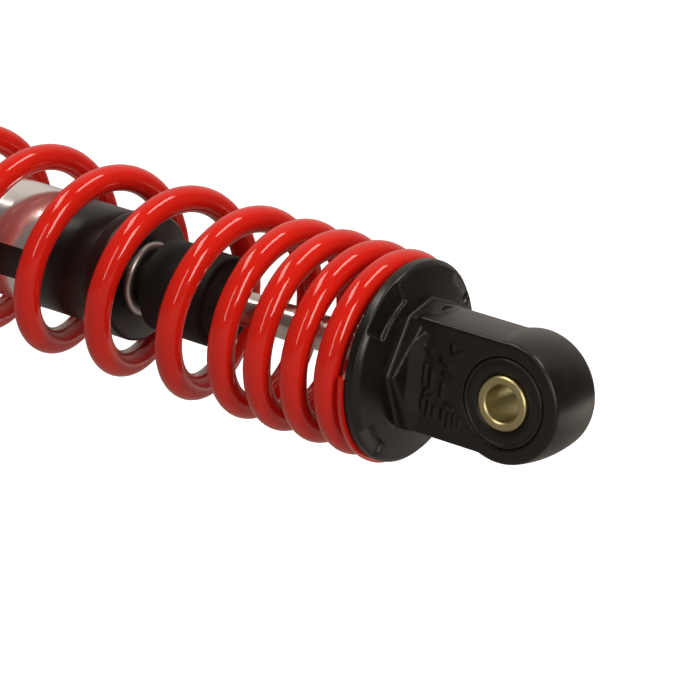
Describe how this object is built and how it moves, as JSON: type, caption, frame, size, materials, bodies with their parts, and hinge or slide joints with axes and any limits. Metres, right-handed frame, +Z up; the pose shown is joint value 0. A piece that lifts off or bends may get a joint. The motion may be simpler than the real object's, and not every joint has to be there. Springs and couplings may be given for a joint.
{
  "type": "rear shock absorber",
  "caption": "Coil-over rear shock absorber with a twin-tube damper, progressive coil spring, bump stop and a rubber-bushed eye at each end.",
  "frame": {"origin": "centre of the bolt bore in the body eye", "axes": "+X along the shock from the body eye to the rod eye, Y along both eye bores, +Z up with the shock lying level"},
  "size_m": [0.3646, 0.058, 0.058],
  "materials": {
    "black_casting": "cast alloy in gloss black paint",
    "black_steel": "steel in satin black paint",
    "black_tube": "steel tube in satin black paint",
    "silver_foil": "bare bright metallised foil",
    "red_powder_coat": "spring steel in gloss red powder coat",
    "bump_rubber": "moulded black rubber",
    "bush_rubber": "moulded black rubber",
    "seal_rubber": "nitrile rubber",
    "plated_sleeve": "turned steel, yellow passivated zinc",
    "hard_chrome": "ground and polished hard chrome",
    "polished_steel": "polished steel",
    "bright_steel": "ground steel",
    "zinc_steel": "zinc plated steel",
    "sintered_iron": "sintered iron, machined",
    "bush_bronze": "rolled bronze bush",
    "band_polymer": "filled low-friction polymer"
  },
  "bodies": {
    "damper_body": {"body_eye": "black_casting", "body_eye_bush": "bush_rubber", "body_spring_seat": "black_steel", "body_tube": "black_tube", "label_foil": "silver_foil", "pressure_tube": "bright_steel", "foot_valve_body": "sintered_iron", "foot_valve_plate": "bright_steel", "foot_valve_spring": "bright_steel", "foot_valve_rivet": "bright_steel", "rod_guide": "sintered_iron", "rod_guide_bush": "bush_bronze", "guide_o_ring": "seal_rubber", "oil_seal": "seal_rubber", "seal_garter_spring": "bright_steel", "end_cap": "black_steel", "wiper_retainer": "polished_steel", "dust_wiper": "seal_rubber", "bump_stop": "bump_rubber", "coil_spring": "red_powder_coat"},
    "body_sleeve": {"body_eye_sleeve": "plated_sleeve"},
    "piston_ring": {"piston_band": "band_polymer"},
    "rod_assembly": {"piston_rod": "hard_chrome", "stop_collar": "bright_steel", "rebound_cushion": "seal_rubber", "backing_washer": "bright_steel", "check_shims": "bright_steel", "piston": "sintered_iron", "rebound_shims": "bright_steel", "nut_washer": "bright_steel", "piston_nut": "zinc_steel", "lock_nut": "zinc_steel", "rod_eye": "black_casting", "rod_eye_bush": "bush_rubber"},
    "rod_sleeve": {"rod_eye_sleeve": "plated_sleeve"}
  },
  "joints": [
    {"name": "rod_slide", "type": "slide", "parent": "damper_body", "child": "piston_ring", "axis": [-1, 0, 0], "range_m": [0, 0.05], "stiffness_N_per_m": 18000, "springref_m": -0.012, "deforming": ["coil_spring"]},
    {"name": "rod_turn", "type": "hinge", "parent": "piston_ring", "child": "rod_assembly", "pos_m": [0.33, 0, 0], "axis": [1, 0, 0], "continuous": true},
    {"name": "body_sleeve_twist", "type": "hinge", "parent": "damper_body", "child": "body_sleeve", "pos_m": [0, 0, 0], "axis": [0, 1, 0], "range_deg": [-12, 12], "stiffness_Nm_per_rad": 20},
    {"name": "rod_sleeve_twist", "type": "hinge", "parent": "rod_assembly", "child": "rod_sleeve", "pos_m": [0.33, 0, 0], "axis": [0, 1, 0], "range_deg": [-12, 12], "stiffness_Nm_per_rad": 20}
  ]
}
